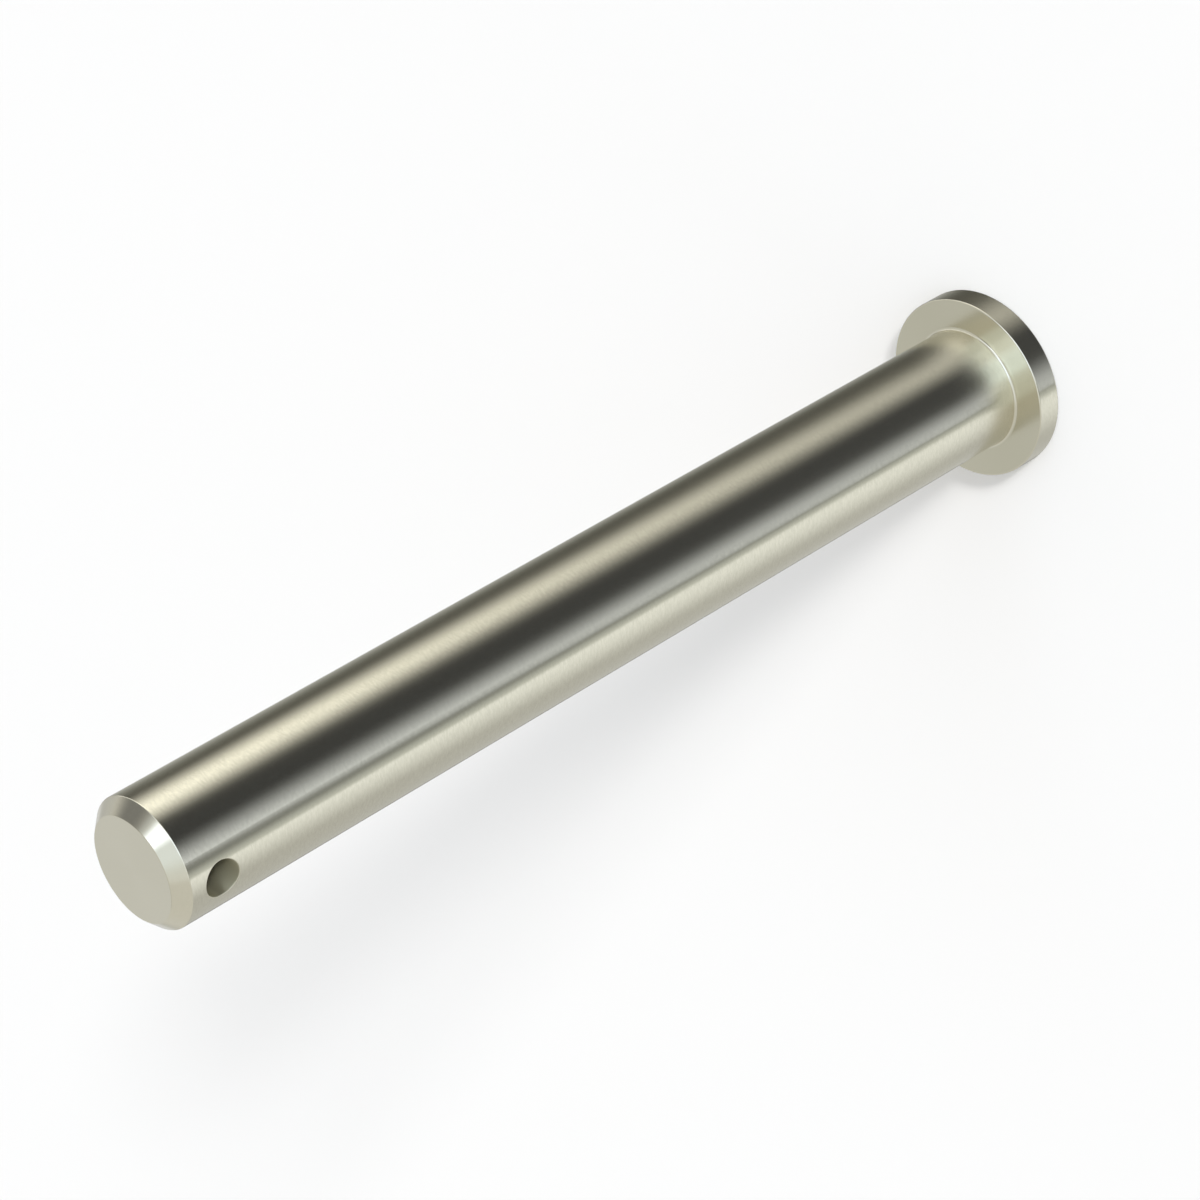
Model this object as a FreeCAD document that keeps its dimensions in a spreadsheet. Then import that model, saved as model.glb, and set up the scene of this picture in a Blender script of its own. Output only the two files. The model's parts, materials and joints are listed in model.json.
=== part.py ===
import FreeCAD, Part
import Sketcher
import os

# Headed clevis pin, turned in one piece: a flat round head, a plain shank with a
# chamfered tip, and one cross hole near the tip for a split pin.
#
# The pin stands on its head. The origin is the middle of the head's flat top, +Z runs
# along the axis from the head to the tip, and the cross hole runs along Y.

NODE = "clevis_pin"

# Driving sizes, in millimetres
SIZES = {
    "shank_diameter": 12.7,
    "shank_length": 108.5,
    "head_diameter": 19.2,
    "head_thickness": 2.8,
    "neck_fillet": 0.3,
    "tip_chamfer": 1.27,
    "edge_round": 0.15,
    "hole_diameter": 3.57,
    "hole_to_tip": 4.6,
    "hole_edge_round": 0.1,
}

# Places worked out from the driving sizes, as the sheet's formulas
HEAD_RADIUS = "Sizes.head_diameter / 2"
SHANK_RADIUS = "Sizes.shank_diameter / 2"
HOLE_RADIUS = "Sizes.hole_diameter / 2"
SEAT_HEIGHT = "Sizes.head_thickness"
TIP_HEIGHT = "Sizes.head_thickness + Sizes.shank_length"
HOLE_HEIGHT = "Sizes.head_thickness + Sizes.shank_length - Sizes.hole_to_tip"

# Two heights or radii closer than this are the same edge
SAME = 1e-4

# A sketch's own origin, as Sketcher numbers it: the root point of the axes
ROOT = (-1, 1)


def add_sheet(doc):
    """The sheet of driving sizes, one row each: its name, its value and its alias."""
    sheet = doc.addObject("Spreadsheet::Sheet", "Sizes")
    for row, (name, value) in enumerate(SIZES.items(), start=1):
        sheet.set(f"A{row}", name)
        sheet.set(f"B{row}", str(value))
        sheet.setAlias(f"B{row}", name)
    doc.recompute()
    return sheet


def add_sketch(body, name, role):
    """A sketch on the body's own origin plane of this role."""
    plane = next(item for item in body.Origin.OriginFeatures if item.Role == role)
    sketch = body.newObject("Sketcher::SketchObject", name)
    sketch.AttachmentSupport = (plane, [""])
    sketch.MapMode = "FlatFace"
    return sketch


def add_outline(sketch, corners):
    """A closed outline of straight lines through the corners, each line level or upright."""
    count = len(corners)
    for index, start in enumerate(corners):
        end = corners[(index + 1) % count]
        line = Part.LineSegment(FreeCAD.Vector(*start, 0), FreeCAD.Vector(*end, 0))
        sketch.addGeometry(line, False)
        level = abs(start[1] - end[1]) < SAME
        sketch.addConstraint(Sketcher.Constraint("Horizontal" if level else "Vertical", index))
    for index in range(count):
        following = (index + 1) % count
        sketch.addConstraint(Sketcher.Constraint("Coincident", index, 2, following, 1))


def drive(sketch, kind, name, places, formula):
    """A named dimension that follows a formula on the sheet."""
    value = sketch.evalExpression(formula)
    index = sketch.addConstraint(Sketcher.Constraint(kind, *places, value))
    sketch.renameConstraint(index, name)
    sketch.setExpression("Constraints." + name, formula)


def turn_blank(body, head_radius, shank_radius, seat_height, tip_height):
    """The turned blank: half of the pin's section, closed by the axis, spun once round it."""
    sketch = add_sketch(body, "half_section", "XZ_Plane")
    corners = [
        (0, 0),
        (head_radius, 0),
        (head_radius, seat_height),
        (shank_radius, seat_height),
        (shank_radius, tip_height),
        (0, tip_height),
    ]
    add_outline(sketch, corners)
    top_face, rim, seat, shank = range(4)
    sketch.addConstraint(Sketcher.Constraint("Coincident", top_face, 1, *ROOT))
    drive(sketch, "DistanceX", "head_radius", (*ROOT, top_face, 2), HEAD_RADIUS)
    drive(sketch, "DistanceY", "seat_height", (*ROOT, rim, 2), SEAT_HEIGHT)
    drive(sketch, "DistanceX", "shank_radius", (*ROOT, seat, 2), SHANK_RADIUS)
    drive(sketch, "DistanceY", "tip_height", (*ROOT, shank, 2), TIP_HEIGHT)

    blank = body.newObject("PartDesign::Revolution", "turned_blank")
    blank.Profile = sketch
    blank.ReferenceAxis = (sketch, ["V_Axis"])
    blank.Angle = 360.0
    return blank


def drill_cross_hole(body, hole_radius, hole_height):
    """The split pin's hole, right through the shank and square to its axis."""
    sketch = add_sketch(body, "hole_circle", "XZ_Plane")
    centre = FreeCAD.Vector(0, hole_height, 0)
    circle = sketch.addGeometry(Part.Circle(centre, FreeCAD.Vector(0, 0, 1), hole_radius), False)
    sketch.addConstraint(Sketcher.Constraint("PointOnObject", circle, 3, -2))
    drive(sketch, "Radius", "hole_radius", (circle,), HOLE_RADIUS)
    drive(sketch, "DistanceY", "hole_height", (*ROOT, circle, 3), HOLE_HEIGHT)

    hole = body.newObject("PartDesign::Pocket", "cross_hole")
    hole.Profile = sketch
    hole.Type = "ThroughAll"
    hole.SideType = "Symmetric"
    return hole


def ring(shape, radius, height):
    """The name of the round edge of this radius about the pin's axis, at this height."""
    for number, edge in enumerate(shape.Edges, start=1):
        if not isinstance(edge.Curve, Part.Circle):
            continue
        centre = edge.Curve.Center
        off_axis = abs(centre.x) + abs(centre.y)
        if off_axis + abs(centre.z - height) + abs(edge.Curve.Radius - radius) < SAME:
            return f"Edge{number}"
    raise ValueError(f"no round edge of radius {radius} at height {height}")


def hole_mouths(shape, hole_radius):
    """The names of the two saddle-shaped edges where the cross hole leaves the shank."""
    walls = [face for face in shape.Faces if isinstance(face.Surface, Part.Cylinder)
             and abs(face.Surface.Radius - hole_radius) < SAME]
    rims = [edge for wall in walls for edge in wall.Edges if edge.isClosed()]
    return [f"Edge{number}" for number, edge in enumerate(shape.Edges, start=1)
            if any(edge.isSame(rim) for rim in rims)]


def round_edges(body, name, base, edges, size):
    """Rounds the named edges of a feature to a size from the sheet."""
    rounding = body.newObject("PartDesign::Fillet", name)
    rounding.Base = (base, edges)
    rounding.setExpression("Radius", "Sizes." + size)
    return rounding


def chamfer_tip(body, base, edge):
    """The 45 degree lead-in that helps the pin into its hole."""
    chamfer = body.newObject("PartDesign::Chamfer", "tip_lead_in")
    chamfer.Base = (base, [edge])
    chamfer.ChamferType = "Equal distance"
    chamfer.setExpression("Size", "Sizes.tip_chamfer")
    return chamfer


def make_pin(doc):
    """The whole pin as one body, feature by feature in the order it is made."""
    body = doc.addObject("PartDesign::Body", NODE)
    body.Label = NODE
    head_radius, shank_radius, hole_radius, seat_height, tip_height, hole_height = (
        body.evalExpression(formula) for formula in
        (HEAD_RADIUS, SHANK_RADIUS, HOLE_RADIUS, SEAT_HEIGHT, TIP_HEIGHT, HOLE_HEIGHT))
    chamfer_foot = tip_height - SIZES["tip_chamfer"]
    end_radius = shank_radius - SIZES["tip_chamfer"]

    blank = turn_blank(body, head_radius, shank_radius, seat_height, tip_height)
    doc.recompute()

    neck = ring(blank.Shape, shank_radius, seat_height)
    filleted = round_edges(body, "neck_fillet", blank, [neck], "neck_fillet")
    doc.recompute()

    tip = ring(filleted.Shape, shank_radius, tip_height)
    chamfered = chamfer_tip(body, filleted, tip)
    doc.recompute()

    sharp = [
        ring(chamfered.Shape, head_radius, 0),
        ring(chamfered.Shape, head_radius, seat_height),
        ring(chamfered.Shape, shank_radius, chamfer_foot),
        ring(chamfered.Shape, end_radius, tip_height),
    ]
    rounded = round_edges(body, "broken_edges", chamfered, sharp, "edge_round")
    doc.recompute()

    hole = drill_cross_hole(body, hole_radius, hole_height)
    doc.recompute()
    if hole.Shape.Volume >= rounded.Shape.Volume:
        raise ValueError("the cross hole cuts nothing")

    mouths = hole_mouths(hole.Shape, hole_radius)
    if len(mouths) != 2:
        raise ValueError(f"the cross hole has {len(mouths)} mouths, not 2")
    round_edges(body, "hole_mouths", hole, mouths, "hole_edge_round")
    doc.recompute()
    return body


def check(doc, body):
    """Stops on any feature that failed and on a pin that isn't one sound solid."""
    for item in doc.Objects:
        if "Invalid" in item.State or "Error" in item.State:
            raise ValueError(f"{item.Label} failed: {item.State}")
    shape = body.Shape
    if shape.isNull() or not shape.isValid() or len(shape.Solids) != 1:
        raise ValueError(f"{body.Label} is not one valid solid")


def main():
    doc = FreeCAD.newDocument("clevis_pin_model")
    add_sheet(doc)
    body = make_pin(doc)
    check(doc, body)
    os.makedirs("parts", exist_ok=True)
    body.Shape.exportStep(f"parts/{body.Label}.step")
    box = body.Shape.optimalBoundingBox()
    print(f"{body.Label}: {box.XLength:.2f} x {box.YLength:.2f} x {box.ZLength:.2f} mm,"
          f" {body.Shape.Volume:.1f} cubic mm")


main()
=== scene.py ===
import json
import math

import bpy
import numpy as np
from bpy.props import FloatProperty, FloatVectorProperty, PointerProperty
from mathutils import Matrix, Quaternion, Vector


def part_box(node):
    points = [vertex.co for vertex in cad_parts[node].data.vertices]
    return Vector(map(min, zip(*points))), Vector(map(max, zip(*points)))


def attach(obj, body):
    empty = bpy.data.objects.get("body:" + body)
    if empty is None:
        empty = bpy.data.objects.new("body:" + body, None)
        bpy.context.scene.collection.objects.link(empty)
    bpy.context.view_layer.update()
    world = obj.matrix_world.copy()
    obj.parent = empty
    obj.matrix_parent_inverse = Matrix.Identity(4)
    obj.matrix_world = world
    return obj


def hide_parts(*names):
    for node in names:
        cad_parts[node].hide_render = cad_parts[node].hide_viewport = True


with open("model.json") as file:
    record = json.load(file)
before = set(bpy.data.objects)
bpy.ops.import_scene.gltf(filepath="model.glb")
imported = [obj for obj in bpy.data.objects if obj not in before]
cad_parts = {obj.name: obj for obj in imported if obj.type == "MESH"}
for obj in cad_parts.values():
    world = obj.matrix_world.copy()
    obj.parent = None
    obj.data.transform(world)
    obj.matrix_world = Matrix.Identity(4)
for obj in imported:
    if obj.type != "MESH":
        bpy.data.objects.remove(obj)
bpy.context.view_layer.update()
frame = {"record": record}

bl_info = {
    "name": "Clevis pin",
    "version": (1, 0, 0),
    "blender": (4, 5, 0),
    "location": "3D View > Sidebar > Clevis pin",
    "description": "Builds a turned clevis pin with a cross hole, its satin steel and a studio",
    "category": "Object",
}

NODE = "clevis_pin"
BODY = "root"
PIN_NAME = "turned_pin"

MM = 0.001
MOUNTS = {mount["name"]: mount for mount in frame["record"]["mounts"]}
PIN_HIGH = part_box(NODE)[1]

# How far a 45 degree line of length 1 goes along each axis
DIAGONAL = math.sqrt(0.5)

# Steps round the pin, and the part of them that a hole's mouth takes up on each side of Y
STEPS_ROUND = 256
WINDOW_HALF = 17
WINDOW_STEPS = 2 * WINDOW_HALF
PERIMETER = 4 * WINDOW_STEPS
WINDOW_HALF_HEIGHT = 2.6 * MM

# Steps along each rounded edge, and along each straight run of the section
ARC_STEPS = 8
FACE_STEPS = 6
RIM_STEPS = 3
SHANK_STEPS = 40
TIP_STEPS = 4
PATCH_STEPS = 7
WALL_STEPS = 24

# Point attributes: the path along the section that the turning marks follow, in metres, and how
# far a point is into the drilled hole, from 0 outside to 1 on its wall
TURNING = "turning"
DRILLED = "drilled"


def linear(code):
    """An sRGB hex colour as linear red, green and blue."""
    parts = np.array([int(code[i:i + 2], 16) for i in (1, 3, 5)]) / 255
    return tuple(np.where(parts <= 0.04045, parts / 12.92, ((parts + 0.055) / 1.055) ** 2.4))


def opaque(colour):
    """A colour with its alpha, as a shader's socket takes it."""
    return (*colour, 1.0)


class PinSizes(bpy.types.PropertyGroup):
    """Sizes of the turned pin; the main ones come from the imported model."""

    head_diameter: FloatProperty(
        name="Head diameter", description="Across the round head",
        default=2 * PIN_HIGH.x, unit="LENGTH", precision=5)
    head_thickness: FloatProperty(
        name="Head thickness", description="From the head's flat top to the seat under it",
        default=MOUNTS["head_seat"]["pos_m"][2], unit="LENGTH", precision=5)
    shank_diameter: FloatProperty(
        name="Shank diameter", description="Across the plain shank",
        default=2 * MM * MOUNTS["shank"]["dims"]["r_mm"], unit="LENGTH", precision=5)
    full_length: FloatProperty(
        name="Full length", description="From the head's top to the tip's end face",
        default=PIN_HIGH.z, unit="LENGTH", precision=5)
    neck_fillet: FloatProperty(
        name="Neck fillet", description="Radius of the inside corner under the head",
        default=0.3 * MM, unit="LENGTH", precision=5)
    tip_chamfer: FloatProperty(
        name="Tip chamfer", description="Depth and height of the 45 degree lead-in",
        default=1.27 * MM, unit="LENGTH", precision=5)
    edge_round: FloatProperty(
        name="Edge rounding", description="Radius of the broken edges of head and tip",
        default=0.15 * MM, unit="LENGTH", precision=5)
    hole_diameter: FloatProperty(
        name="Hole diameter", description="Across the split pin's hole",
        default=2 * MM * MOUNTS["split_pin_hole"]["dims"]["r_mm"], unit="LENGTH", precision=5)
    hole_height: FloatProperty(
        name="Hole height", description="From the head's top to the middle of the cross hole",
        default=MOUNTS["split_pin_hole"]["pos_m"][2], unit="LENGTH", precision=5)
    mouth_round: FloatProperty(
        name="Mouth rounding", description="Radius of the cross hole's broken edges",
        default=0.1 * MM, unit="LENGTH", precision=5)


class PinFinish(bpy.types.PropertyGroup):
    """Colour and surface of the satin turned steel."""

    colour: FloatVectorProperty(
        name="Steel", description="Colour of the bare steel, slightly warm",
        default=linear("#DAD7C6"), subtype="COLOR", size=3, min=0, max=1)
    roughness: FloatProperty(
        name="Roughness", description="Middle roughness of the polished shank",
        default=0.13, subtype="FACTOR", min=0, max=1)
    roughness_spread: FloatProperty(
        name="Roughness spread", description="How far the turning marks change the roughness",
        default=0.01, subtype="FACTOR", min=0, max=1)
    neck_roughness: FloatProperty(
        name="Neck roughness", description="Roughness near the head, where polishing is harder",
        default=0.22, subtype="FACTOR", min=0, max=1)
    neck_reach: FloatProperty(
        name="Neck reach", description="How far the duller finish runs up the shank",
        default=8.5 * MM, unit="LENGTH", precision=4)
    neck_start: FloatProperty(
        name="Neck start", description="Where the duller finish is dullest, above the seat",
        default=0.5 * MM, unit="LENGTH", precision=4)
    drilled_roughness: FloatProperty(
        name="Drilled roughness", description="Roughness of the cross hole's drilled wall",
        default=0.6, subtype="FACTOR", min=0, max=1)
    # Painted shade: the drilled wall's colour is darker than the steel's, which darkens the hole's
    # recess; its roughness and shine are the drilled finish
    drilled_shaded_colour: FloatVectorProperty(
        name="Drilled steel", description="Colour of the drilled wall, dulled by cutting oil",
        default=linear("#B0AC93"), subtype="COLOR", size=3, min=0, max=1)
    drilled_shine: FloatProperty(
        name="Drilled shine", description="How metallic the dull drilled wall still looks",
        default=0.75, subtype="FACTOR", min=0, max=1)
    stretch: FloatProperty(
        name="Highlight stretch", description="How far the marks draw highlights out along the pin",
        default=1.0, subtype="FACTOR", min=0, max=1)
    mark_spacing: FloatProperty(
        name="Mark spacing", description="Distance from one turning mark to the next",
        default=0.18 * MM, unit="LENGTH", precision=5)
    mark_length: FloatProperty(
        name="Mark length", description="How far a mark runs round the pin before it fades",
        default=0.5 * MM, unit="LENGTH", precision=5)
    mark_depth: FloatProperty(
        name="Mark depth", description="Depth of the turning marks",
        default=0.0004 * MM, unit="LENGTH", precision=6)
    mark_shade: FloatProperty(
        name="Mark shade", description="How much the marks lighten and darken the steel",
        default=0.07, subtype="FACTOR", min=0, max=1)


class Studio(bpy.types.PropertyGroup):
    """Floor, backdrop and camera."""

    floor_colour: FloatVectorProperty(
        name="Floor", description="Colour of the pale floor",
        default=linear("#EDEBE9"), subtype="COLOR", size=3, min=0, max=1)
    backdrop_colour: FloatVectorProperty(
        name="Backdrop", description="Colour of the white backdrop round the floor",
        default=linear("#FCFCFC"), subtype="COLOR", size=3, min=0, max=1)
    camera_azimuth: FloatProperty(
        name="Camera azimuth", description="Turn of the camera round the pin, from the hole's side",
        default=math.radians(45.0), subtype="ANGLE")
    camera_elevation: FloatProperty(
        name="Camera elevation", description="Height of the camera above the horizon",
        default=math.radians(35.5), subtype="ANGLE")
    camera_roll: FloatProperty(
        name="Camera roll", description="Tilt of the camera about its own view, so the pin lies",
        default=math.radians(-120.0), subtype="ANGLE")
    camera_distance: FloatProperty(
        name="Camera distance", description="From the camera to the middle of the pin",
        default=341.7 * MM, unit="LENGTH", precision=4)
    lens: FloatProperty(
        name="Lens", description="Focal length of the camera on a 36 mm sensor",
        default=110.27, unit="CAMERA")


def run(start, end, normal, steps):
    """A straight run of the section as rows of radius, height and normal, without its end.

    Each row is start + (end - start) * t, for t from 0 in equal steps.
    """
    share = np.arange(steps)[:, None] / steps
    places = np.array(start) + (np.array(end) - np.array(start)) * share
    return np.hstack([places, np.tile(normal, (steps, 1))])


def bend(centre, radius, first, last, outward, steps):
    """A rounded corner of the section as rows of radius, height and normal, without its end.

    Each row is centre + radius * (cos a, sin a), for a from first to last in degrees. The
    normal is (cos a, sin a) on an outside corner (outward 1) and its opposite inside (-1).
    """
    angle = np.radians(first + (last - first) * np.arange(steps) / steps)
    way = np.stack([np.cos(angle), np.sin(angle)], axis=1)
    return np.hstack([np.array(centre) + radius * way, outward * way])


def section(sizes):
    """Half of the pin's section, from the middle of the head's top out, up and in to the tip.

    Gives rows of radius, height and normal, and the number of the row where the hole's
    window starts. Straight runs join rounded corners, each touching its neighbours. A
    rounded 45 degree corner touches its runs at radius * tan(45 / 2) from the corner.
    """
    head = sizes.head_diameter / 2
    shank = sizes.shank_diameter / 2
    seat = sizes.head_thickness
    tip = sizes.full_length
    fillet = sizes.neck_fillet
    chamfer = sizes.tip_chamfer
    edge = sizes.edge_round
    low = sizes.hole_height - WINDOW_HALF_HEIGHT
    high = sizes.hole_height + WINDOW_HALF_HEIGHT
    touch = edge * math.tan(math.radians(45 / 2))
    drop = touch * DIAGONAL
    foot = tip - chamfer
    end = shank - chamfer
    slope = (DIAGONAL, DIAGONAL)
    below_window = np.vstack([
        run((head / FACE_STEPS, 0), (head - edge, 0), (0, -1), FACE_STEPS),
        bend((head - edge, edge), edge, -90, 0, 1, ARC_STEPS),
        run((head, edge), (head, seat - edge), (1, 0), RIM_STEPS),
        bend((head - edge, seat - edge), edge, 0, 90, 1, ARC_STEPS),
        run((head - edge, seat), (shank + fillet, seat), (0, 1), FACE_STEPS),
        bend((shank + fillet, seat + fillet), fillet, -90, -180, -1, ARC_STEPS),
        run((shank, seat + fillet), (shank, low), (1, 0), SHANK_STEPS),
    ])
    above = np.vstack([
        run((shank, low), (shank, high), (1, 0), WINDOW_STEPS),
        run((shank, high), (shank, foot - touch), (1, 0), TIP_STEPS),
        bend((shank - edge, foot - touch), edge, 0, 45, 1, ARC_STEPS),
        run((shank - drop, foot + drop), (end + drop, tip - drop), slope, TIP_STEPS),
        bend((end - touch, tip - edge), edge, 45, 90, 1, ARC_STEPS),
        run((end - touch, tip), (0, tip), (0, 1), FACE_STEPS),
    ])
    return np.vstack([below_window, above]), len(below_window)


def neck_path(sizes):
    """How far the neck's corner is from the middle of the head's top, along the section."""
    return sizes.head_diameter + sizes.head_thickness - sizes.shank_diameter / 2


def spin(rows):
    """Carries the section round the axis: x = r cos a, y = r sin a, in equal steps of a.

    Gives the places and normals as arrays of rows by steps by 3.
    """
    angle = np.arange(STEPS_ROUND) * 2 * np.pi / STEPS_ROUND
    across, along = np.cos(angle), np.sin(angle)
    radius, height, out, up = (rows[:, i, None] for i in range(4))
    level = np.ones_like(across)
    places = np.stack([radius * across, radius * along, height * level], axis=2)
    normals = np.stack([out * across, out * along, up * level], axis=2)
    return places, normals


def window_frame():
    """Rows and steps of the window's frame in the shank's grid, in order round the hole.

    The frame starts at the corner low on +X, and goes up, across to -X, down and back.
    """
    first = STEPS_ROUND // 4 - WINDOW_HALF
    last = first + WINDOW_STEPS
    side = np.arange(WINDOW_STEPS)
    flat = np.zeros(WINDOW_STEPS, int)
    rows = np.concatenate([side, flat + WINDOW_STEPS, WINDOW_STEPS - side, flat])
    steps = np.concatenate([flat + first, first + side, flat + last, last - side])
    return rows, steps


def ball_round(sizes, turn):
    """The hole's broken edge, as a ball of the rounding's radius leaves it when it rolls round.

    The ball's middle is one ball radius inside the metal from the hole's wall and from the
    shank's surface. The edge's normals swing from the wall's normal to the shank's, in equal
    steps of angle, and its places are the middle plus the radius times the normal. Gives
    places, with y from the pin's axis and z from the hole's, and normals, on the +Y side.
    """
    hole = sizes.hole_diameter / 2
    shank = sizes.shank_diameter / 2
    ball = sizes.mouth_round
    x = (hole + ball) * np.cos(turn)
    z = (hole + ball) * np.sin(turn)
    y = np.sqrt((shank - ball) ** 2 - x ** 2)
    middle = np.stack([x, y, z], axis=1)
    level = np.zeros_like(turn)
    wall = np.stack([-np.cos(turn), level, -np.sin(turn)], axis=1)
    skin = np.stack([x, y, level], axis=1) / (shank - ball)
    gap = np.arccos(np.sum(wall * skin, axis=1))[None, :, None]
    share = np.linspace(0, 1, ARC_STEPS + 1)[:, None, None]
    normals = (np.sin((1 - share) * gap) * wall + np.sin(share * gap) * skin) / np.sin(gap)
    return middle + ball * normals, normals


def cross_hole(sizes, frame_places):
    """The cross hole with both mouths, as one tube of rows by PERIMETER steps.

    The tube starts at the window's frame on the +Y side. The shank's skin closes in on the
    mouth in straight lines of x and z, with y = sqrt(R^2 - x^2). The edge rolls over, and the
    wall runs straight to the -Y side, which is the same with y turned round. Gives places,
    normals, the depth in from the nearer mouth, and 0 to 1 from the skin to the wall, all
    without the two frames.
    """
    shank = sizes.shank_diameter / 2
    centre = np.array([0, 0, sizes.hole_height])
    start = frame_places - centre
    turn = np.arctan2(start[:, 2], start[:, 0])
    edge, edge_normals = ball_round(sizes, turn)
    share = (np.arange(1, PATCH_STEPS) / PATCH_STEPS)[:, None]
    x = start[:, 0] + (edge[-1, :, 0] - start[:, 0]) * share
    z = start[:, 2] + (edge[-1, :, 2] - start[:, 2]) * share
    y = np.sqrt(shank ** 2 - x ** 2)
    skin = np.stack([x, y, z], axis=2)
    skin_normals = np.stack([x, y, np.zeros_like(x)], axis=2) / shank
    half = np.concatenate([skin, edge[::-1]])
    half_normals = np.concatenate([skin_normals, edge_normals[::-1]])
    flip = np.array([1, -1, 1])
    other = half[::-1] * flip
    other_normals = half_normals[::-1] * flip
    share = (np.arange(1, WALL_STEPS) / WALL_STEPS)[:, None, None]
    wall = half[-1] + (other[0] - half[-1]) * share
    wall_normals = np.tile(half_normals[-1], (WALL_STEPS - 1, 1, 1))
    places = np.concatenate([half, wall, other])
    normals = np.concatenate([half_normals, wall_normals, other_normals])
    into_edge = np.clip(np.arange(len(half)) - PATCH_STEPS + 1, 0, ARC_STEPS) / ARC_STEPS
    drilled = np.concatenate([into_edge, np.ones(WALL_STEPS - 1), into_edge[::-1]])
    depth = (edge[-1, :, 1] - np.abs(places[..., 1])) * (drilled > 0)[:, None]
    return places + centre, normals, depth, np.tile(drilled[:, None], PERIMETER)


def quads(numbers):
    """Four corners of each face between neighbouring rows and steps, closed round the steps."""
    here, there = numbers[:-1], numbers[1:]
    ahead_here, ahead_there = np.roll(here, -1, axis=1), np.roll(there, -1, axis=1)
    return np.stack([here, ahead_here, ahead_there, there], axis=2)


def turned_pin(sizes):
    """The whole pin as one closed surface.

    The section is carried round the axis. Two windows are left out of its shank, one on each
    side of Y, and the cross hole's tube joins their frames. One point closes each end.
    """
    rows, window_row = section(sizes)
    body, body_normals = spin(rows)
    numbers = np.arange(body.shape[0] * STEPS_ROUND).reshape(-1, STEPS_ROUND)
    frame_rows, frame_steps = window_frame()
    near = numbers[window_row + frame_rows, frame_steps]
    far = numbers[window_row + frame_rows, STEPS_ROUND - frame_steps]
    tube, tube_normals, depth, drilled = cross_hole(
        sizes, body[window_row + frame_rows, frame_steps])
    tube_numbers = numbers.size + np.arange(tube.shape[0] * PERIMETER).reshape(-1, PERIMETER)
    tube_numbers = np.vstack([near, tube_numbers, far])

    skin = quads(numbers)
    windows = np.zeros(skin.shape[:2], bool)
    first = STEPS_ROUND // 4 - WINDOW_HALF
    for start in (first, STEPS_ROUND - first - WINDOW_STEPS):
        windows[window_row:window_row + WINDOW_STEPS, start:start + WINDOW_STEPS] = True
    bottom = tube_numbers.max() + 1
    top = bottom + 1
    ring = np.roll(numbers, -1, axis=1)
    caps = np.vstack([
        np.stack([np.full(STEPS_ROUND, bottom), ring[0], numbers[0]], axis=1),
        np.stack([numbers[-1], ring[-1], np.full(STEPS_ROUND, top)], axis=1),
    ])
    fours = np.vstack([skin[~windows], quads(tube_numbers)[:, :, ::-1].reshape(-1, 4)])

    places = np.vstack([body.reshape(-1, 3), tube.reshape(-1, 3),
                        [(0, 0, 0), (0, 0, sizes.full_length)]])
    normals = np.vstack([body_normals.reshape(-1, 3), tube_normals.reshape(-1, 3),
                         [(0, 0, -1), (0, 0, 1)]])
    path = np.cumsum(np.linalg.norm(np.diff(rows[:, :2], axis=0, prepend=0), axis=1))
    into_hole = tube[..., 2] + depth - rows[window_row, 1] + path[window_row]
    turning = np.concatenate([
        np.repeat(path, STEPS_ROUND), into_hole.ravel(), [0, path[-1] + rows[-1, 0]]])
    drilled = np.concatenate([np.zeros(numbers.size), drilled.ravel(), [0, 0]])

    used, again = np.unique(np.concatenate([fours.ravel(), caps.ravel()]), return_inverse=True)
    fours = again[:fours.size].reshape(-1, 4)
    caps = again[-caps.size:].reshape(-1, 3)
    marks = {TURNING: turning[used], DRILLED: drilled[used]}
    return places[used], normals[used], fours.tolist() + caps.tolist(), marks


def add_node(tree, kind, inputs=None, **settings):
    """Adds a node with its settings; an input that is a socket is linked, another is set."""
    node = tree.nodes.new(kind)
    for name, value in settings.items():
        setattr(node, name, value)
    for key, value in (inputs or {}).items():
        if isinstance(value, bpy.types.NodeSocket):
            tree.links.new(value, node.inputs[key])
        else:
            node.inputs[key].default_value = value
    return node


# The Mix node's colour sockets, which share their names with its number sockets
COLOUR_A = 6
COLOUR_B = 7
COLOUR_OUT = 2

# The Map Range node's sockets for three numbers at once, named like those for one
SPAN_VALUES = 6
SPAN_FROM = 7
SPAN_TO = 8
SPAN_OUT = 1

# The noise's middle value, and the range that most of it lies in
NOISE_MIDDLE = 0.5
NOISE_LOW = 0.3
NOISE_HIGH = 0.7

# A quarter turn, which points the stretched highlights along the pin
ALONG_PIN = 0.25


def new_material(name):
    """An empty node material."""
    material = bpy.data.materials.new(name)
    material.use_nodes = True
    material.node_tree.nodes.clear()
    return material


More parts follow.
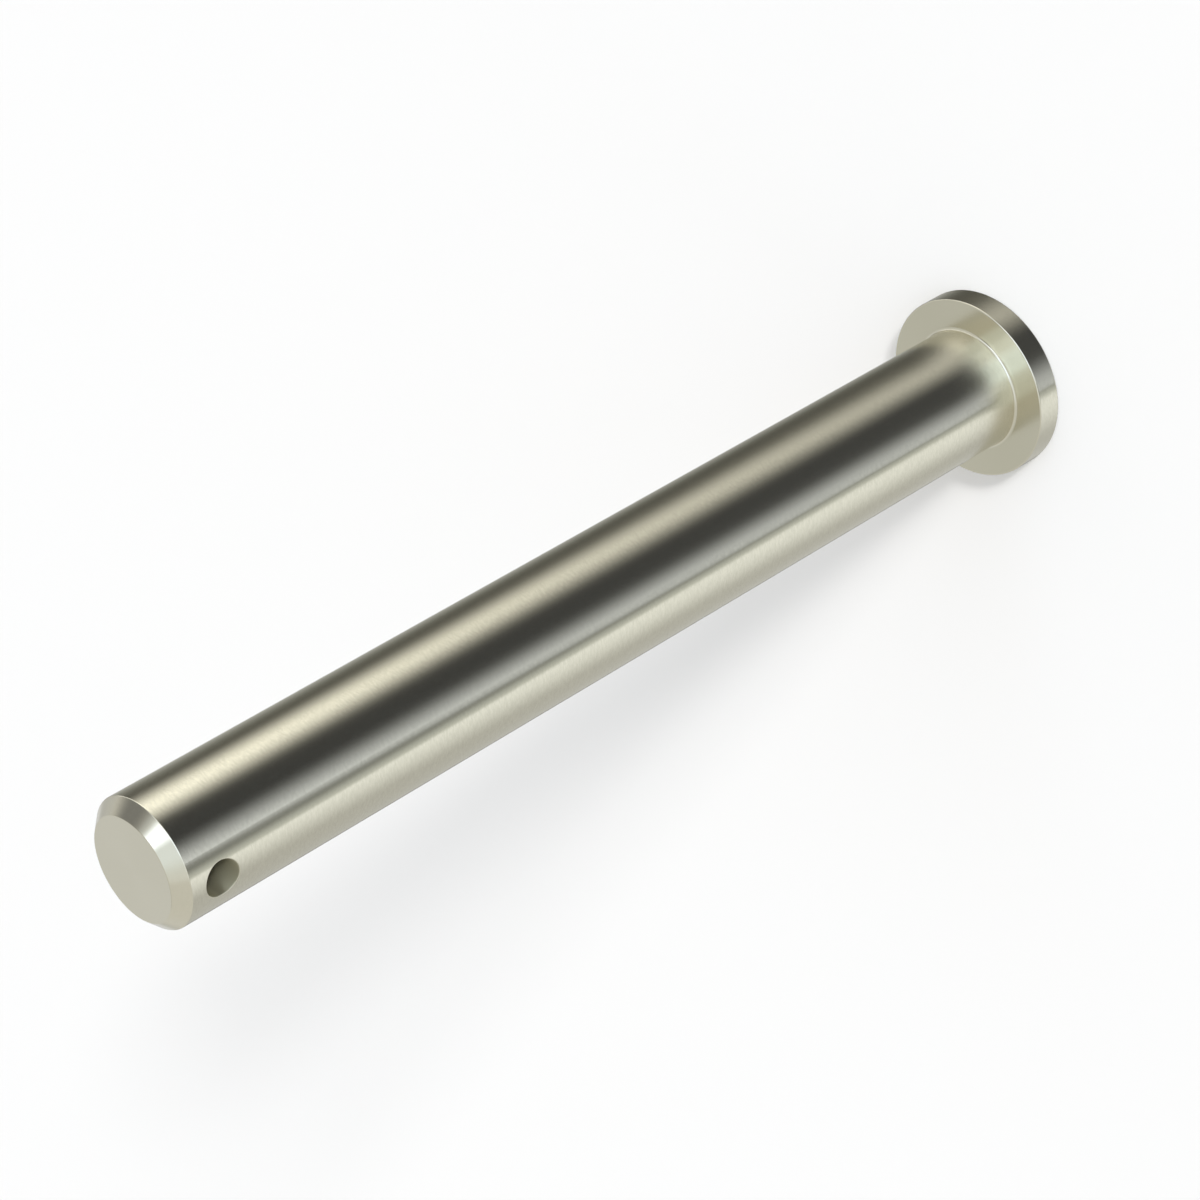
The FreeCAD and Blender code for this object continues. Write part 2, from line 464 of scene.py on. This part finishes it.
def turned_steel(finish, sizes):
    """Satin turned steel.

    Bare steel from the lathe, polished along the shank: warm grey, with clear edges to what it
    mirrors round the pin and a shine that the fine marks draw out along it. Near the neck it
    is duller, because the head is in the way of the polishing, and the hole's wall is as
    drilled: rougher, with its colour painted darker than the steel as shade in the hole. The
    marks are only on faces that look sideways, and they are spaced wider than on the real pin,
    so that they show.
    """
    material = new_material("satin_turned_steel")
    tree = material.node_tree
    where = add_node(tree, "ShaderNodeTexCoord")
    along = add_node(tree, "ShaderNodeAttribute", attribute_name=TURNING,
                     attribute_type="GEOMETRY")
    drilled = add_node(tree, "ShaderNodeAttribute", attribute_name=DRILLED,
                       attribute_type="GEOMETRY")
    spot = add_node(tree, "ShaderNodeSeparateXYZ", {0: where.outputs["Object"]})
    place = add_node(tree, "ShaderNodeCombineXYZ", {
        "X": spot.outputs["X"], "Y": spot.outputs["Y"], "Z": along.outputs["Fac"]})
    marks_at = add_node(tree, "ShaderNodeVectorMath", {
        0: place.outputs[0],
        1: (1 / finish.mark_length, 1 / finish.mark_length, 1 / finish.mark_spacing),
    }, operation="MULTIPLY")
    marks = add_node(tree, "ShaderNodeTexNoise", {
        "Vector": marks_at.outputs[0], "Scale": 1.0, "Detail": 1.0, "Roughness": 0.5})
    facing = add_node(tree, "ShaderNodeSeparateXYZ", {0: where.outputs["Normal"]})
    flat = add_node(tree, "ShaderNodeMath", {0: facing.outputs["Z"]}, operation="ABSOLUTE")
    side = add_node(tree, "ShaderNodeMath", {0: 1.0, 1: flat.outputs[0]}, operation="SUBTRACT")
    swing = add_node(tree, "ShaderNodeMath", {
        0: marks.outputs["Fac"], 1: NOISE_MIDDLE}, operation="SUBTRACT")
    marked = add_node(tree, "ShaderNodeMath", {
        0: swing.outputs[0], 1: side.outputs[0], 2: NOISE_MIDDLE}, operation="MULTIPLY_ADD")
    dulled = add_node(tree, "ShaderNodeMix", {
        "Factor": marked.outputs[0],
        COLOUR_A: opaque((1 + finish.mark_shade) * Vector(finish.colour)),
        COLOUR_B: opaque((1 - finish.mark_shade) * Vector(finish.colour)),
    }, data_type="RGBA")
    worn = add_node(tree, "ShaderNodeMapRange", {
        "Value": marked.outputs[0], "From Min": NOISE_LOW, "From Max": NOISE_HIGH,
        "To Min": -finish.roughness_spread, "To Max": finish.roughness_spread})
    neck = neck_path(sizes)
    dullest = neck + finish.neck_start
    shank_side = add_node(tree, "ShaderNodeMapRange", {
        "Value": along.outputs["Fac"],
        "From Min": dullest, "From Max": neck + finish.neck_reach,
        "To Min": finish.neck_roughness, "To Max": finish.roughness},
        interpolation_type="SMOOTHSTEP")
    seat_side = add_node(tree, "ShaderNodeMapRange", {
        "Value": along.outputs["Fac"], "From Min": dullest, "From Max": neck,
        "To Min": finish.neck_roughness, "To Max": finish.roughness},
        interpolation_type="SMOOTHSTEP")
    polished = add_node(tree, "ShaderNodeMath", {
        0: shank_side.outputs["Result"], 1: seat_side.outputs["Result"]}, operation="MINIMUM")
    bored = add_node(tree, "ShaderNodeMix", {
        "Factor": drilled.outputs["Fac"], "A": polished.outputs[0],
        "B": finish.drilled_roughness})
    rough = add_node(tree, "ShaderNodeMath", {0: bored.outputs[0], 1: worn.outputs["Result"]},
                     operation="ADD")
    # Painted shade: the drilled wall takes its darker colour here, which darkens the inside of the
    # hole
    colour = add_node(tree, "ShaderNodeMix", {
        "Factor": drilled.outputs["Fac"],
        COLOUR_A: dulled.outputs[COLOUR_OUT],
        COLOUR_B: opaque(finish.drilled_shaded_colour),
    }, data_type="RGBA")
    shine = add_node(tree, "ShaderNodeMix", {
        "Factor": drilled.outputs["Fac"], "A": 1.0, "B": finish.drilled_shine})
    relief = add_node(tree, "ShaderNodeBump", {
        "Height": marked.outputs[0], "Strength": 1.0, "Distance": finish.mark_depth})
    across = add_node(tree, "ShaderNodeTangent", direction_type="RADIAL", axis="Z")
    steel = add_node(tree, "ShaderNodeBsdfPrincipled", {
        "Base Color": colour.outputs[COLOUR_OUT],
        "Metallic": shine.outputs[0],
        "Roughness": rough.outputs[0],
        "Anisotropic": finish.stretch,
        "Anisotropic Rotation": ALONG_PIN,
        "Tangent": across.outputs[0],
        "Normal": relief.outputs[0],
    })
    add_node(tree, "ShaderNodeOutputMaterial", {"Surface": steel.outputs[0]})
    return material


class TurnPin(bpy.types.Operator):
    """Builds the pin as one closed turned surface with its cross hole."""

    bl_idname = "clevis_pin.turn_pin"
    bl_label = "Turned pin"

    def execute(self, context):
        places, normals, faces, marks = turned_pin(context.scene.pin_sizes)
        mesh = bpy.data.meshes.new(PIN_NAME)
        mesh.from_pydata(places.tolist(), [], faces)
        mesh.shade_smooth()
        mesh.normals_split_custom_set_from_vertices(normals.tolist())
        for name, values in marks.items():
            mesh.attributes.new(name, "FLOAT", "POINT").data.foreach_set("value", values)
        if mesh.validate():
            raise RuntimeError("the turned pin's surface has faults")
        mesh.materials.append(turned_steel(context.scene.pin_finish, context.scene.pin_sizes))
        pin = bpy.data.objects.new(PIN_NAME, mesh)
        context.scene.collection.objects.link(pin)
        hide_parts(NODE)
        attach(pin, BODY)
        return {"FINISHED"}


# The floor's radius and that of the small opening in its middle, under the head, and how
# near to straight up the dome closes, in degrees
FLOOR_RADIUS = 5.0
FLOOR_EYE = 0.1 * MM
DOME_TOP = 89
DOME_ROWS = 24
STAGE_STEPS = 96

# The height that the camera looks at, near the middle of the pin, and where its view starts
AIM_HEIGHT = 55.5 * MM
VIEW_START = 10 * MM

# The brightness of a white panel or card
WHITE_LEVEL = 0.92

# The tent of panels round and below the pin that the shank mirrors, in order of azimuth from
# the camera. Each panel has a name, the azimuth where it starts low under the pin and nearer
# the horizon, how soft that edge is, all in degrees, its tint, and its brightness low and
# nearer the horizon as a share of white. LOW_TILT and HIGH_TILT are the two heights.
PANELS = (
    ("back", -180, -180, 0, "#FFFFF6", 0.60, 0.54),
    ("right_back", -168, -168, 24, "#FFFFFA", 0.69, 0.60),
    ("right_grey", -146, -148, 34, "#FFFFFD", 0.655, 0.63),
    ("right_white", -94, -76, 52, "#FCFEFF", 1.12, 1.22),
    ("gap", -58.4, -59.4, 2.5, "#FBFFFC", 0.70, 0.70),
    ("gap_shade", -50, -50, 16, "#FBFFFC", 0.29, 0.27),
    ("camera_white", -49.5, -31.5, 1, "#F1F6FF", 0.88, 1.14),
    ("camera_black", -31, -13, 50, "#F9FAFF", 0.078, 0.05),
    ("cream", 42, 62, 46, "#FFFDF6", 0.635, 2.1),
    ("left_black", 71, 95, 50, "#FFFDF2", 0.11, 0.15),
    ("left_back", 156, 152, 76, "#FDFFF8", 0.69, 0.70),
)
LOW_TILT = -41.5
HIGH_TILT = -26.0

# The light above and round the pin, a share of white, and the heights between which it takes
# over from the panels
OVERHEAD = 0.80
OVERHEAD_TINT = "#FFFDF8"
OVERHEAD_FROM = -10.0
OVERHEAD_FULL = 4.0

# Soft cards round the pin: name, azimuth from the camera and height of the middle, half width
# and half height, how soft the edge is across and up, all in degrees, tint, and brightness as
# a share of white
CARDS = (
    ("front_card", -3, 36, 12, 20, 32, 8, "#E0EDFF", 2.25),
    ("ceiling_card", -22, 66, 24, 7, 40, 8, "#F6FCFF", 1.04),
    ("side_card", 50, 38, 14, 9, 16, 6, "#F0F8FF", 1.4),
    ("right_card", -43, 38, 13, 9, 20, 6, "#F4FAFF", 1.3),
    ("edge_strip", 100, -1, 26, 3, 14, 4, "#FFFFFF", 2.0),
    ("left_card", 150, 4, 6, 6, 24, 24, "#FFFFFF", 0.64),
    ("back_shade", 180, 49, 40, 9, 40, 8, "#FFFFF9", 0.67),
    ("back_card", 180, 22, 20, 12, 30, 8, "#FFFFFF", 0.80),
    ("low_back_card", 180, -14, 14, 4, 12, 8, "#FFFFFF", 0.82),
    ("key", 39, 58, 8, 3, 24, 11, "#E8F0FF", 2.8),
)

# The dark card beside the tip: azimuth and height from the tip's middle in degrees, distance,
# radius, the parts of that radius which are left open in the middle and fully dark, and its
# brightness
FLAG_AZIMUTH = 97
FLAG_HEIGHT = 36
FLAG_DISTANCE = 60 * MM
FLAG_RADIUS = 50 * MM
FLAG_EYE = 0.01
FLAG_CORE = 0.15
FLAG_LEVEL = 0.24

# Lamps for the soft shadow behind the pin, from just beside the camera: azimuth from the camera
# and height, how wide the lamp looks, all in degrees, and strength
SUNS = (
    ("inner_key", 6.6, 25.2, 6.2, 1.11),
    ("outer_key", 10.0, 24.6, 11.0, 1.13),
)


def surface_object(name, places, material):
    """An object for a grid of places by rows and steps, closed round the steps."""
    numbers = np.arange(places.shape[0] * places.shape[1]).reshape(places.shape[:2])
    mesh = bpy.data.meshes.new(name)
    mesh.from_pydata(places.reshape(-1, 3).tolist(), [], quads(numbers).reshape(-1, 4).tolist())
    mesh.shade_smooth()
    mesh.materials.append(material)
    shape = bpy.data.objects.new(name, mesh)
    bpy.context.scene.collection.objects.link(shape)
    return shape


def stage_ring(radius, height):
    """Rings about Z: x = r cos a, y = r sin a, z = h, one row for each radius and height."""
    angle = np.arange(STAGE_STEPS) * 2 * np.pi / STAGE_STEPS
    radius, height = radius[:, None], height[:, None]
    return np.stack(np.broadcast_arrays(
        radius * np.cos(angle), radius * np.sin(angle), height), axis=2)


def add_floor(studio):
    """A round floor under the pin and a dome of backdrop paper round it.

    The floor is matt white paper, which shows nothing but soft shade. The dome is a far wall of
    the same paper, lit so evenly that it has no shade of its own. The floor's rings lie closer
    together near the pin.
    """
    paper = new_material("white_backdrop_paper")
    tree = paper.node_tree
    skin = add_node(tree, "ShaderNodeBsdfDiffuse", {"Color": opaque(studio.floor_colour)})
    add_node(tree, "ShaderNodeOutputMaterial", {"Surface": skin.outputs[0]})
    radius = FLOOR_RADIUS * np.linspace(0, 1, DOME_ROWS) ** 3
    radius[0] = FLOOR_EYE
    floor = surface_object("studio_floor", stage_ring(radius, np.zeros_like(radius)), paper)
    floor.visible_glossy = False
    floor.visible_shadow = False

    glow = new_material("white_backdrop_wall")
    tree = glow.node_tree
    light = add_node(tree, "ShaderNodeEmission", {"Color": opaque(studio.backdrop_colour)})
    add_node(tree, "ShaderNodeOutputMaterial", {"Surface": light.outputs[0]})
    tilt = np.linspace(0, math.radians(DOME_TOP), DOME_ROWS)
    dome_places = stage_ring(FLOOR_RADIUS * np.cos(tilt), FLOOR_RADIUS * np.sin(tilt))
    dome = surface_object("studio_backdrop", dome_places, glow)
    dome.visible_glossy = False
    dome.visible_diffuse = False
    dome.visible_shadow = False
    dome.visible_transmission = False


def front(studio):
    """The camera's azimuth from +X, in radians; the studio's own counts from -Y, the hole's side."""
    return studio.camera_azimuth - math.pi / 2


def direction(azimuth, elevation):
    """The unit direction at an azimuth from +X and an elevation, both in radians."""
    return Vector((math.cos(azimuth) * math.cos(elevation),
                   math.sin(azimuth) * math.cos(elevation), math.sin(elevation)))


def shade_of(level, tint):
    """A tint at a level, a share of white, as a shader's colour."""
    return opaque(level * np.array(linear(tint)))


def hang_panels(tree, rise, round_pin):
    """The tent of panels by azimuth, each laid over the one before it from its edge on.

    A panel's edge leans: it is at low + (high - low) * rise, where rise goes from 0 at the low
    tilt to 1 at the high one, and its colour goes from the low one to the high one with it.
    """
    colour = opaque((0, 0, 0))
    for name, low_start, high_start, soft, tint, low_level, high_level in PANELS:
        panel = add_node(tree, "ShaderNodeMix", {
            "Factor": rise, COLOUR_A: shade_of(low_level, tint),
            COLOUR_B: shade_of(high_level, tint),
        }, data_type="RGBA", label=name)
        upright = add_node(tree, "ShaderNodeMath", {
            0: rise, 1: math.radians(low_start - high_start), 2: round_pin,
        }, operation="MULTIPLY_ADD")
        cover = add_node(tree, "ShaderNodeMapRange", {
            "Value": upright.outputs[0],
            "From Min": math.radians(low_start - soft / 2),
            "From Max": math.radians(low_start + soft / 2),
        }, interpolation_type="SMOOTHSTEP")
        colour = add_node(tree, "ShaderNodeMix", {
            "Factor": cover.outputs["Result"], COLOUR_A: colour,
            COLOUR_B: panel.outputs[COLOUR_OUT],
        }, data_type="RGBA").outputs[COLOUR_OUT]
    return colour


def angles(values):
    """Up to three angles in degrees as a vector in radians, filled up with zeros."""
    return [math.radians(angle) for angle in (*values, 0, 0, 0)[:3]]


def fall(tree, off, halves, softs):
    """For each of three angles, 1 within its half size and down to 0 over its soft edge."""
    size = add_node(tree, "ShaderNodeVectorMath", {0: off}, operation="ABSOLUTE")
    ends = [half + soft for half, soft in zip(halves, softs)]
    return add_node(tree, "ShaderNodeMapRange", {
        SPAN_VALUES: size.outputs[0], SPAN_FROM: angles(ends), SPAN_TO: angles(halves),
    }, data_type="FLOAT_VECTOR", interpolation_type="SMOOTHSTEP").outputs[SPAN_OUT]


def card_covers(tree, round_pin, height):
    """How much each card covers a direction, with the card's name and colour.

    A card's cover is the product of two falls from 1 to 0, one across and one up. Three cards
    at a time share their vector nodes, which keeps the light quick to work out.
    """
    covers = []
    for start in range(0, len(CARDS), 3):
        (names, azimuths, tilts, half_widths, half_heights, soft_widths, soft_heights, tints,
         levels) = zip(*CARDS[start:start + 3])
        aside = add_node(tree, "ShaderNodeVectorMath", {
            0: round_pin, 1: angles(azimuths)}, operation="SUBTRACT")
        aside = add_node(tree, "ShaderNodeVectorMath", {
            0: aside.outputs[0], 1: (math.pi,) * 3, 2: (-math.pi,) * 3}, operation="WRAP")
        above = add_node(tree, "ShaderNodeVectorMath", {
            0: height, 1: angles(tilts)}, operation="SUBTRACT")
        both = add_node(tree, "ShaderNodeVectorMath", {
            0: fall(tree, aside.outputs[0], half_widths, soft_widths),
            1: fall(tree, above.outputs[0], half_heights, soft_heights)}, operation="MULTIPLY")
        parts = add_node(tree, "ShaderNodeSeparateXYZ", {0: both.outputs[0]})
        covers += zip(names, parts.outputs, tints, levels)
    return covers


def lay_cards(tree, colour, covers):
    """The cards over the colour behind them, each over the ones before it."""
    for name, cover, tint, level in covers:
        colour = add_node(tree, "ShaderNodeMix", {
            "Factor": cover, COLOUR_A: colour, COLOUR_B: shade_of(level, tint),
        }, data_type="RGBA", label=name).outputs[COLOUR_OUT]
    return colour


def add_world(studio):
    """The studio as the metal mirrors it: a tent of panels, an even light and soft cards.

    The panels below and the light above are two backgrounds, so that a direction which sees
    only one of them doesn't take the time to work out the other.
    """
    world = bpy.data.worlds.new("studio")
    bpy.context.scene.world = world
    world.use_nodes = True
    tree = world.node_tree
    tree.nodes.clear()
    where = add_node(tree, "ShaderNodeTexCoord")
    turned = add_node(tree, "ShaderNodeVectorRotate", {
        "Vector": where.outputs["Generated"], "Angle": -front(studio)}, rotation_type="Z_AXIS")
    way = add_node(tree, "ShaderNodeSeparateXYZ", {0: turned.outputs[0]})
    round_pin = add_node(tree, "ShaderNodeMath", {
        0: way.outputs["Y"], 1: way.outputs["X"]}, operation="ARCTAN2")
    rise = add_node(tree, "ShaderNodeMapRange", {
        "Value": way.outputs["Z"], "From Min": math.sin(math.radians(LOW_TILT)),
        "From Max": math.sin(math.radians(HIGH_TILT))})
    height = add_node(tree, "ShaderNodeMath", {0: way.outputs["Z"]}, operation="ARCSINE")
    covers = card_covers(tree, round_pin.outputs[0], height.outputs[0])
    tent = hang_panels(tree, rise.outputs["Result"], round_pin.outputs[0])
    below, above = (add_node(tree, "ShaderNodeBackground", {
        "Color": lay_cards(tree, behind, covers), "Strength": WHITE_LEVEL})
        for behind in (tent, shade_of(OVERHEAD, OVERHEAD_TINT)))
    up = add_node(tree, "ShaderNodeMapRange", {
        "Value": way.outputs["Z"], "From Min": math.sin(math.radians(OVERHEAD_FROM)),
        "From Max": math.sin(math.radians(OVERHEAD_FULL))}, interpolation_type="SMOOTHSTEP")
    whole = add_node(tree, "ShaderNodeMixShader", {
        0: up.outputs["Result"], 1: below.outputs[0], 2: above.outputs[0]})
    add_node(tree, "ShaderNodeOutputWorld", {"Surface": whole.outputs[0]})


def add_flag(studio, tip):
    """A dark card that stands beside the tip and fades out to its edge; only metal shows it.

    Its face is a grid of rings round its own middle: tip + d * distance + r (u cos a + v sin a).
    The cloth has no shine, so the metal that mirrors it is an even dark grey there.
    """
    toward = direction(front(studio) + math.radians(FLAG_AZIMUTH), math.radians(FLAG_HEIGHT))
    turn = toward.to_track_quat("Z", "Y").to_matrix()
    radius = FLAG_RADIUS * np.linspace(FLAG_EYE, 1, DOME_ROWS)
    places = stage_ring(radius, np.zeros_like(radius)) @ np.array(turn).T
    middle = tip + toward * FLAG_DISTANCE
    cloth = new_material("black_flag_cloth")
    tree = cloth.node_tree
    where = add_node(tree, "ShaderNodeTexCoord")
    off = add_node(tree, "ShaderNodeVectorMath", {
        0: where.outputs["Object"], 1: middle}, operation="DISTANCE")
    cover = add_node(tree, "ShaderNodeMapRange", {
        "Value": off.outputs["Value"],
        "From Min": FLAG_RADIUS, "From Max": FLAG_CORE * FLAG_RADIUS,
    }, interpolation_type="SMOOTHSTEP")
    clear = add_node(tree, "ShaderNodeBsdfTransparent")
    dark = add_node(tree, "ShaderNodeEmission", {"Color": opaque((FLAG_LEVEL,) * 3)})
    skin = add_node(tree, "ShaderNodeMixShader", {
        0: cover.outputs["Result"], 1: clear.outputs[0], 2: dark.outputs[0]})
    add_node(tree, "ShaderNodeOutputMaterial", {"Surface": skin.outputs[0]})
    flag = surface_object("studio_flag", places + np.array(middle), cloth)
    flag.visible_camera = False
    flag.visible_diffuse = False
    flag.visible_shadow = False
    flag.visible_transmission = False


def add_suns(studio):
    """Lamps from just beside the camera, for the soft shadow on the floor.

    They are hidden from reflections, so the polished metal doesn't mirror them.
    """
    for name, azimuth, height, width, strength in SUNS:
        lamp = bpy.data.lights.new(name, "SUN")
        lamp.energy = strength
        lamp.angle = math.radians(width)
        sun = bpy.data.objects.new(name, lamp)
        bpy.context.scene.collection.objects.link(sun)
        toward = direction(front(studio) + math.radians(azimuth), math.radians(height))
        sun.rotation_mode = "QUATERNION"
        sun.rotation_quaternion = toward.to_track_quat("Z", "Y")
        sun.visible_glossy = False


def add_camera(studio, middle):
    """The camera at the photograph's angle, rolled so that the standing pin seems to lie."""
    camera = bpy.data.objects.new("camera", bpy.data.cameras.new("camera"))
    bpy.context.scene.collection.objects.link(camera)
    camera.data.lens = studio.lens
    back = direction(front(studio), studio.camera_elevation)
    camera.location = middle + back * studio.camera_distance
    camera.rotation_mode = "QUATERNION"
    roll = Quaternion((0, 0, 1), studio.camera_roll)
    camera.rotation_quaternion = back.to_track_quat("Z", "Y") @ roll
    camera.data.clip_start = VIEW_START
    bpy.context.scene.camera = camera


class SetStage(bpy.types.Operator):
    """Sets the floor, the light and the camera."""

    bl_idname = "clevis_pin.set_stage"
    bl_label = "Studio"

    def execute(self, context):
        studio = context.scene.pin_studio
        context.scene.view_settings.view_transform = "Standard"
        add_floor(studio)
        add_world(studio)
        add_flag(studio, Vector((0, 0, context.scene.pin_sizes.full_length)))
        add_suns(studio)
        add_camera(studio, Vector((0, 0, AIM_HEIGHT)))
        return {"FINISHED"}


class PinPanel(bpy.types.Panel):
    """Lists the pin's sizes and finish, the studio and the buttons that build them."""

    bl_idname = "VIEW3D_PT_clevis_pin"
    bl_label = "Clevis pin"
    bl_space_type = "VIEW_3D"
    bl_region_type = "UI"
    bl_category = "Clevis pin"

    def draw(self, context):
        scene = context.scene
        for group in (scene.pin_sizes, scene.pin_finish, scene.pin_studio):
            box = self.layout.box()
            for name in type(group).__annotations__:
                box.prop(group, name)
        self.layout.operator(TurnPin.bl_idname)
        self.layout.operator(SetStage.bl_idname)


CLASSES = (PinSizes, PinFinish, Studio, TurnPin, SetStage, PinPanel)


def register():
    for item in CLASSES:
        bpy.utils.register_class(item)
    bpy.types.Scene.pin_sizes = PointerProperty(type=PinSizes)
    bpy.types.Scene.pin_finish = PointerProperty(type=PinFinish)
    bpy.types.Scene.pin_studio = PointerProperty(type=Studio)


def unregister():
    del bpy.types.Scene.pin_studio
    del bpy.types.Scene.pin_finish
    del bpy.types.Scene.pin_sizes
    for item in reversed(CLASSES):
        bpy.utils.unregister_class(item)


def main():
    register()
    bpy.ops.clevis_pin.turn_pin()
    bpy.ops.clevis_pin.set_stage()


if __name__ == "__main__":
    main()
